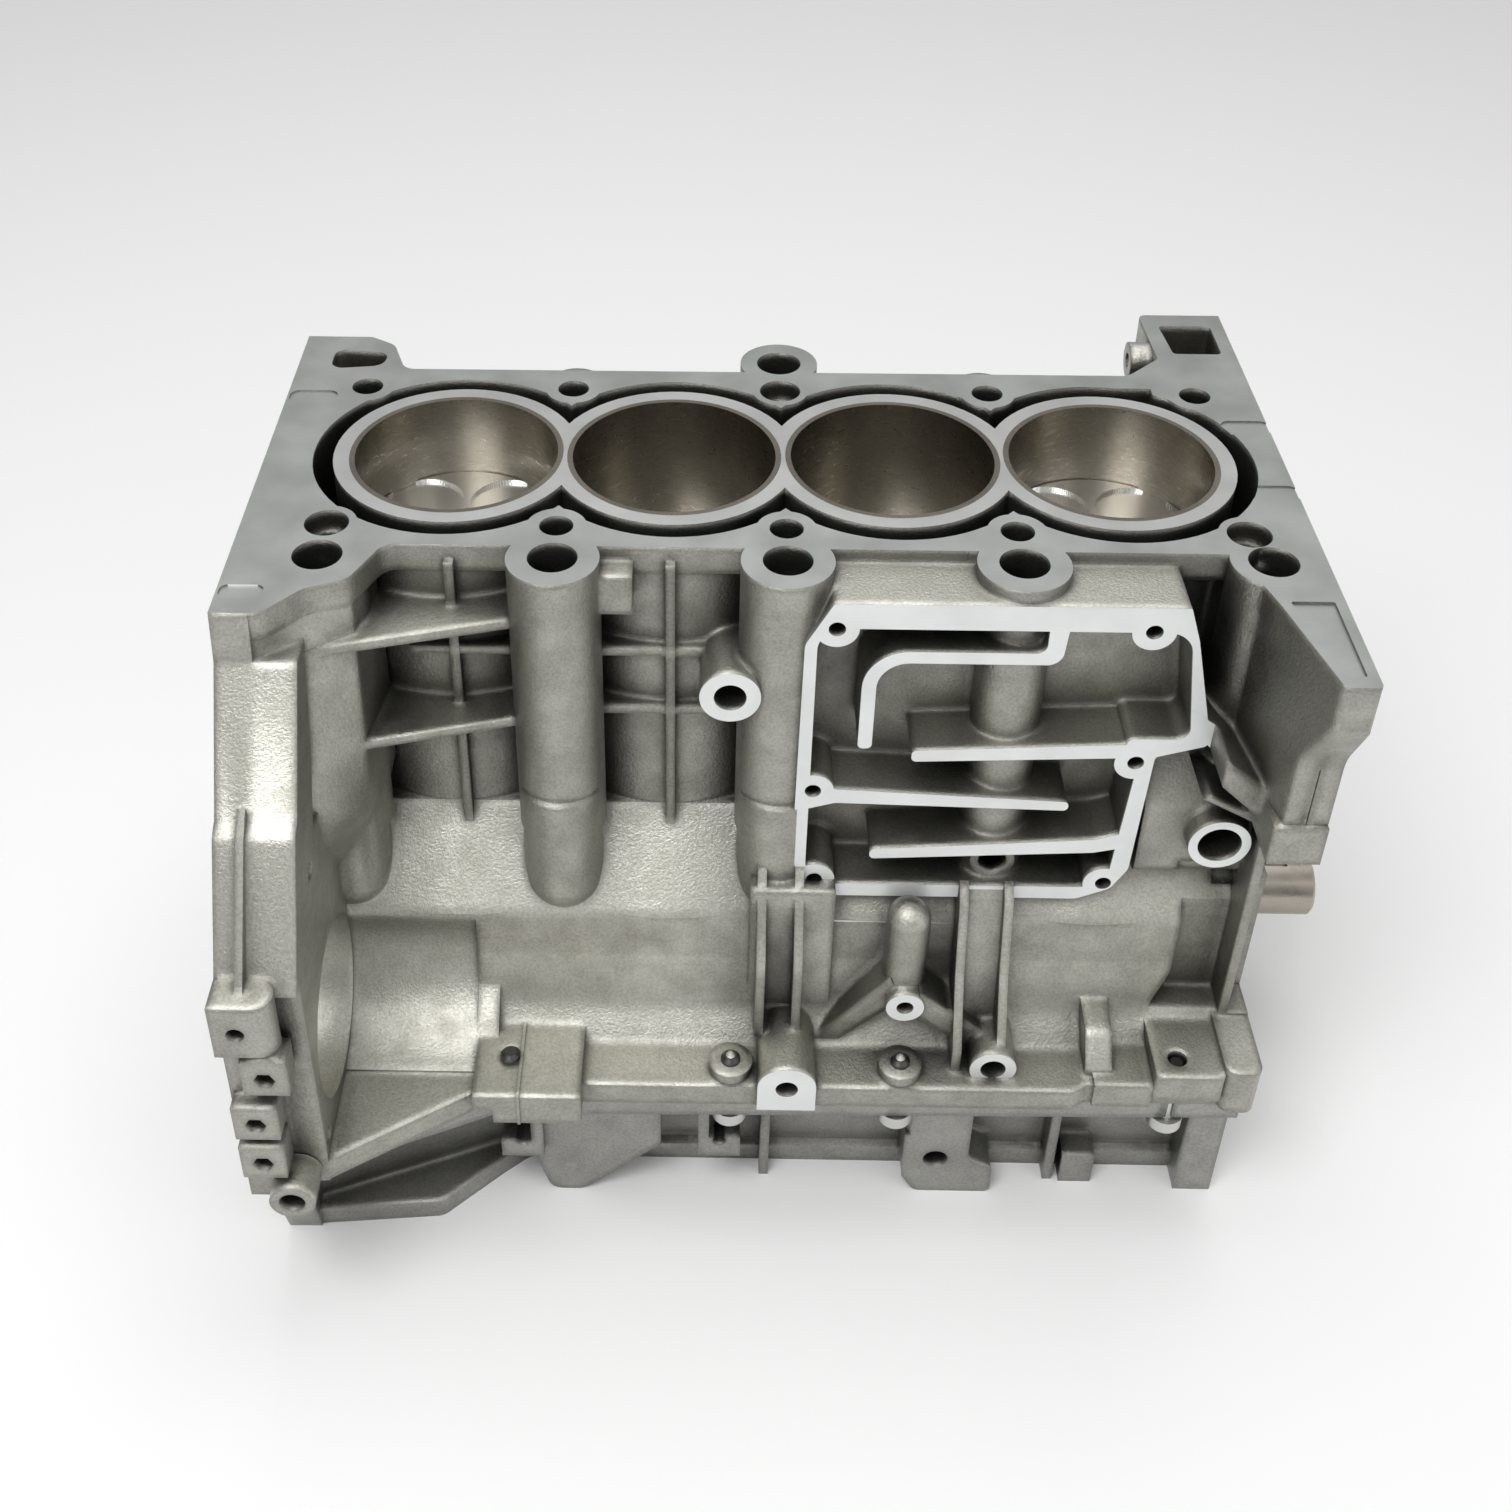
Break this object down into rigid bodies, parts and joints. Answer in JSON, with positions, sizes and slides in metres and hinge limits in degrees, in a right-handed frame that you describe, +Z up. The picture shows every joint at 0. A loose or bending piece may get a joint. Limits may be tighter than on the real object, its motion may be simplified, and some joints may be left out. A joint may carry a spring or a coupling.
{
  "type": "engine short block",
  "caption": "Open-deck aluminium in-line engine short block with breather labyrinth, crankshaft, rods and pistons.",
  "frame": {"origin": "crankshaft centreline in the transmission face, at the centre of the flywheel bolt circle", "axes": "+X along the crankshaft to its timing nose, +Y to the exhaust side, +Z up the cylinders"},
  "size_m": [0.46, 0.338, 0.307],
  "materials": {
    "block_casting": "as-cast with milled faces",
    "ladder_casting": "as-cast, darker",
    "crank_steel": "ground journals on a forged body",
    "bearing_metal": "plated shell",
    "bolt_steel": "black oxide",
    "plated_bolt": "zinc plated",
    "liner_iron": "honed",
    "piston_alloy": "machined",
    "pin_steel": "ground",
    "ring_steel": "satin",
    "rod_steel": "forged, shot blasted"
  },
  "bodies": {
    "block": {"cylinder_block": "block_casting", "lower_block": "ladder_casting", "upper_main_bearings": "bearing_metal", "lower_main_bearings": "bearing_metal", "thrust_washers": "bearing_metal", "main_bolts": "bolt_steel", "joint_bolts": "plated_bolt", "cylinder_liner_1": "liner_iron", "cylinder_liner_2": "liner_iron", "cylinder_liner_3": "liner_iron", "cylinder_liner_4": "liner_iron"},
    "crank": {"crankshaft": "crank_steel"},
    "rod_1": {"connecting_rod_1": "rod_steel", "rod_cap_1": "rod_steel", "rod_bolts_1": "bolt_steel", "rod_bearing_upper_1": "bearing_metal", "rod_bearing_lower_1": "bearing_metal"},
    "rod_2": {"connecting_rod_2": "rod_steel", "rod_cap_2": "rod_steel", "rod_bolts_2": "bolt_steel", "rod_bearing_upper_2": "bearing_metal", "rod_bearing_lower_2": "bearing_metal"},
    "rod_3": {"connecting_rod_3": "rod_steel", "rod_cap_3": "rod_steel", "rod_bolts_3": "bolt_steel", "rod_bearing_upper_3": "bearing_metal", "rod_bearing_lower_3": "bearing_metal"},
    "rod_4": {"connecting_rod_4": "rod_steel", "rod_cap_4": "rod_steel", "rod_bolts_4": "bolt_steel", "rod_bearing_upper_4": "bearing_metal", "rod_bearing_lower_4": "bearing_metal"},
    "piston_assembly_1": {"piston_1": "piston_alloy", "wrist_pin_1": "pin_steel", "pin_circlips_1": "ring_steel", "compression_rings_1": "ring_steel", "oil_ring_1": "ring_steel"},
    "piston_assembly_2": {"piston_2": "piston_alloy", "wrist_pin_2": "pin_steel", "pin_circlips_2": "ring_steel", "compression_rings_2": "ring_steel", "oil_ring_2": "ring_steel"},
    "piston_assembly_3": {"piston_3": "piston_alloy", "wrist_pin_3": "pin_steel", "pin_circlips_3": "ring_steel", "compression_rings_3": "ring_steel", "oil_ring_3": "ring_steel"},
    "piston_assembly_4": {"piston_4": "piston_alloy", "wrist_pin_4": "pin_steel", "pin_circlips_4": "ring_steel", "compression_rings_4": "ring_steel", "oil_ring_4": "ring_steel"}
  },
  "joints": [
    {"name": "crank_turn", "type": "hinge", "parent": "block", "child": "crank", "pos_m": [0, 0, 0], "axis": [1, 0, 0], "range_deg": [-6, 6]},
    {"name": "rod_swing_1", "type": "hinge", "parent": "crank", "child": "rod_1", "pos_m": [0.337, -0.04151, 0.01349], "axis": [1, 0, 0], "range_deg": [-6.6, 6.6]},
    {"name": "rod_swing_2", "type": "hinge", "parent": "crank", "child": "rod_2", "pos_m": [0.25, 0.04151, -0.01349], "axis": [1, 0, 0], "range_deg": [-5.6, 5.6]},
    {"name": "rod_swing_3", "type": "hinge", "parent": "crank", "child": "rod_3", "pos_m": [0.163, 0.04151, -0.01349], "axis": [1, 0, 0], "range_deg": [-5.6, 5.6]},
    {"name": "rod_swing_4", "type": "hinge", "parent": "crank", "child": "rod_4", "pos_m": [0.076, -0.04151, 0.01349], "axis": [1, 0, 0], "range_deg": [-6.6, 6.6]},
    {"name": "piston_slide_1", "type": "slide", "parent": "block", "child": "piston_assembly_1", "axis": [0, 0, 1], "range_m": [-0.0049, 0.0049]},
    {"name": "piston_slide_2", "type": "slide", "parent": "block", "child": "piston_assembly_2", "axis": [0, 0, 1], "range_m": [-0.0041, 0.0041]},
    {"name": "piston_slide_3", "type": "slide", "parent": "block", "child": "piston_assembly_3", "axis": [0, 0, 1], "range_m": [-0.0041, 0.0041]},
    {"name": "piston_slide_4", "type": "slide", "parent": "block", "child": "piston_assembly_4", "axis": [0, 0, 1], "range_m": [-0.0049, 0.0049]}
  ],
  "couplings": [
    {"joint": "rod_swing_1", "follows": "crank_turn", "ratio": -1.0888},
    {"joint": "rod_swing_2", "follows": "crank_turn", "ratio": -0.9112},
    {"joint": "rod_swing_3", "follows": "crank_turn", "ratio": -0.9112},
    {"joint": "rod_swing_4", "follows": "crank_turn", "ratio": -1.0888},
    {"joint": "piston_slide_1", "follows": "crank_turn", "m_per_rad": -0.0452},
    {"joint": "piston_slide_2", "follows": "crank_turn", "m_per_rad": 0.03783},
    {"joint": "piston_slide_3", "follows": "crank_turn", "m_per_rad": 0.03783},
    {"joint": "piston_slide_4", "follows": "crank_turn", "m_per_rad": -0.0452}
  ]
}
